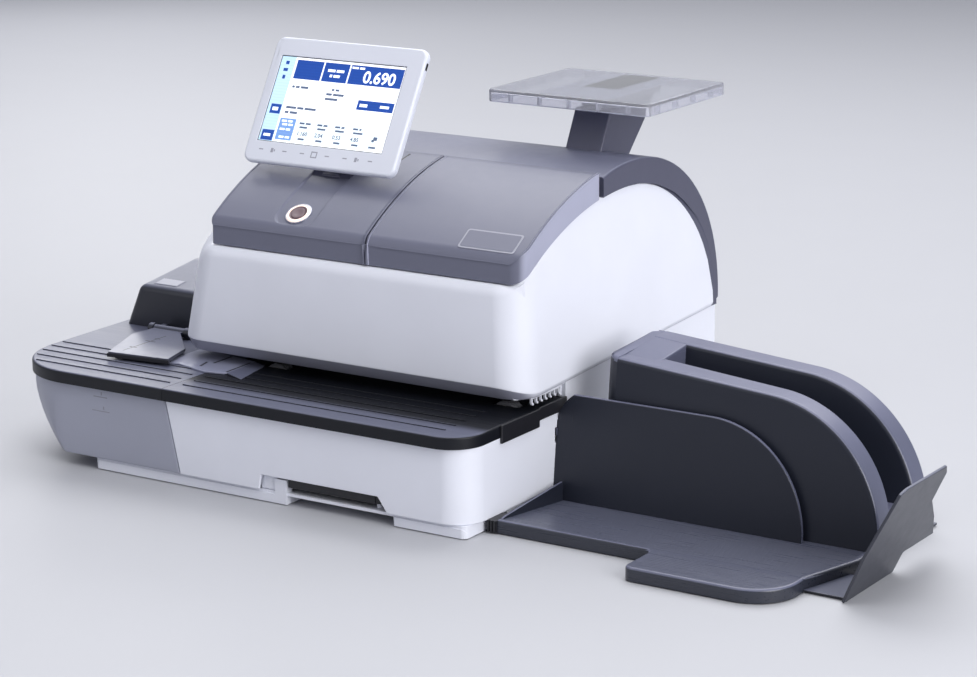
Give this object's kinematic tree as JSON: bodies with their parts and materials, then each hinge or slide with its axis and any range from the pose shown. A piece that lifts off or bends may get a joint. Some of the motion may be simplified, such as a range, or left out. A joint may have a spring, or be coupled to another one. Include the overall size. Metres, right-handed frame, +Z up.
{
  "type": "postage meter",
  "caption": "Desktop postage meter: mail slides from a moistener under an ink-jet housing into a catch tray; tilting touch display, weighing platform, lifting lid and release lever.",
  "frame": {"origin": "centre of the bounding box on the desk, under the feet", "axes": "+X along the mail path towards the catch tray, +Y to the back, +Z up; the front faces -Y"},
  "size_m": [0.8432, 0.437, 0.3571],
  "materials": {
    "white_shell": "satin cool white moulding",
    "white_pan": "satin white moulding",
    "foot_rubber": "matte grey rubber",
    "plain_steel": "bright turned steel",
    "zinc_sheet": "zinc-plated sheet steel",
    "deck_plastic": "satin dark grey moulding, ribbed top",
    "black_plastic": "satin black moulding",
    "cover_grey": "satin mid-grey moulding",
    "rear_grey": "satin dark grey moulding",
    "guide_grey": "satin grey moulding",
    "tank_smoke": "translucent smoky plastic",
    "felt": "wet felt",
    "bezel_silver": "satin silver-grey moulding",
    "screen_glass": "lit touch screen behind clear glass",
    "ring_light": "glowing light guide with a bright rim",
    "button_cap": "smooth dark cap",
    "bronze": "sintered bronze",
    "roller_rubber": "ground black rubber",
    "roller_grey": "ground grey rubber",
    "gear_plastic": "natural moulded gear plastic",
    "motor_can": "plated motor can",
    "belt_rubber": "ribbed rubber belt",
    "ink_plastic": "glossy dark blue cartridge",
    "board_green": "solder-masked circuit board",
    "supply_case": "plain sheet case",
    "cell_alloy": "machined alloy bar",
    "clear_acrylic": "clear acrylic",
    "tray_charcoal": "satin charcoal moulding"
  },
  "bodies": {
    "machine": {"base_shell": "white_shell", "base_pan": "white_pan", "rubber_feet": "foot_rubber", "base_screws": "plain_steel", "main_deck": "deck_plastic", "exit_guide": "black_plastic", "sealer_frame": "white_pan", "sealer_deck": "deck_plastic", "sealer_housing": "rear_grey", "moistener_felt": "felt", "guide_pin": "plain_steel", "housing_shell": "white_shell", "left_top_cover": "cover_grey", "lid_hinge_pins": "plain_steel", "rear_cover": "rear_grey", "rear_panel": "rear_grey", "power_inlet": "black_plastic", "light_ring": "ring_light", "display_foot": "rear_grey", "display_pin": "plain_steel", "chassis": "zinc_sheet", "shaft_bushes": "bronze", "feed_motor": "motor_can", "transport_belt": "belt_rubber", "pressure_springs": "plain_steel", "guide_rods": "plain_steel", "wiper_station": "roller_grey", "main_board": "board_green", "power_supply": "supply_case", "scale_post": "zinc_sheet", "tray_floor": "tray_charcoal", "tray_liner": "tray_charcoal", "tray_wall": "tray_charcoal"},
    "display": {"display_bezel": "bezel_silver", "display_glass": "screen_glass", "display_back": "bezel_silver"},
    "lid": {"cartridge_lid": "cover_grey"},
    "button": {"start_button": "button_cap"},
    "scale": {"load_cell": "cell_alloy", "scale_column": "rear_grey", "platform_carrier": "guide_grey", "weigh_platform": "clear_acrylic"},
    "flap": {"flap_guide": "guide_grey"},
    "tank": {"water_tank": "tank_smoke"},
    "lever": {"release_lever": "black_plastic"},
    "press": {"pressure_carriage": "zinc_sheet"},
    "entry_press": {"entry_pressure_axle": "plain_steel", "entry_pressure_rollers": "roller_grey"},
    "exit_press": {"exit_pressure_axle": "plain_steel", "exit_pressure_rollers": "roller_grey"},
    "entry_drive": {"entry_drive_shaft": "plain_steel", "entry_drive_rollers": "roller_rubber", "drive_gear": "gear_plastic"},
    "exit_drive": {"exit_drive_shaft": "plain_steel", "exit_drive_rollers": "roller_rubber"},
    "pinion": {"motor_pinion": "gear_plastic"},
    "print_head": {"print_carriage": "black_plastic", "ink_cartridge": "ink_plastic"},
    "stop": {"end_stop": "tray_charcoal"}
  },
  "joints": [
    {"name": "display_tilt", "type": "hinge", "parent": "machine", "child": "display", "pos_m": [-0.17356, -0.03298, 0.26613], "axis": [1, 0, 0], "range_deg": [-25, 10]},
    {"name": "lid_hinge", "type": "hinge", "parent": "machine", "child": "lid", "pos_m": [-0.01656, 0.0085, 0.25892], "axis": [-1, 0, 0], "range_deg": [0, 70]},
    {"name": "start_button", "type": "slide", "parent": "machine", "child": "button", "axis": [0, 0.5306, -0.8476], "range_m": [0, 0.0015], "stiffness_N_per_m": 600, "springref_m": -0.001},
    {"name": "platform_sink", "type": "slide", "parent": "machine", "child": "scale", "axis": [0, 0, 1], "range_m": [-0.0005, 0], "stiffness_N_per_m": 20000, "springref_m": 0.0004},
    {"name": "flap_guide_lift", "type": "hinge", "parent": "machine", "child": "flap", "pos_m": [-0.34656, -0.0625, 0.0905], "axis": [-1, 0, 0], "range_deg": [0, 45]},
    {"name": "tank_slide", "type": "slide", "parent": "machine", "child": "tank", "axis": [-1, 0, 0], "range_m": [0, 0.1]},
    {"name": "release_lever", "type": "hinge", "parent": "machine", "child": "lever", "pos_m": [-0.03056, -0.1905, 0.01975], "axis": [0, 0, 1], "range_deg": [0, 35]},
    {"name": "pressure_drop", "type": "slide", "parent": "machine", "child": "press", "axis": [0, 0, 1], "range_m": [-0.008, 0], "stiffness_N_per_m": 700, "springref_m": 0.012, "deforming": ["pressure_springs"]},
    {"name": "entry_pressure_spin", "type": "hinge", "parent": "press", "child": "entry_press", "pos_m": [-0.20056, -0.08065, 0.075], "axis": [0, 1, 0], "continuous": true},
    {"name": "exit_pressure_spin", "type": "hinge", "parent": "press", "child": "exit_press", "pos_m": [0.03144, -0.08065, 0.075], "axis": [0, 1, 0], "continuous": true},
    {"name": "entry_drive_spin", "type": "hinge", "parent": "machine", "child": "entry_drive", "pos_m": [-0.20056, -0.08065, 0.1033], "axis": [0, 1, 0], "continuous": true},
    {"name": "exit_drive_spin", "type": "hinge", "parent": "machine", "child": "exit_drive", "pos_m": [0.03144, -0.08065, 0.1033], "axis": [0, 1, 0], "continuous": true},
    {"name": "motor_pinion_spin", "type": "hinge", "parent": "machine", "child": "pinion", "pos_m": [-0.18856, -0.0325, 0.12409], "axis": [0, 1, 0], "continuous": true},
    {"name": "print_head_slide", "type": "slide", "parent": "machine", "child": "print_head", "axis": [1, 0, 0], "range_m": [0, 0.035]},
    {"name": "end_stop_slide", "type": "slide", "parent": "machine", "child": "stop", "axis": [1, 0, 0], "range_m": [-0.01, 0.045]}
  ],
  "couplings": [
    {"joint": "release_lever", "follows": "pressure_drop", "rad_per_m": -76.3},
    {"joint": "exit_drive_spin", "follows": "entry_drive_spin", "ratio": 1},
    {"joint": "motor_pinion_spin", "follows": "entry_drive_spin", "ratio": -3}
  ]
}
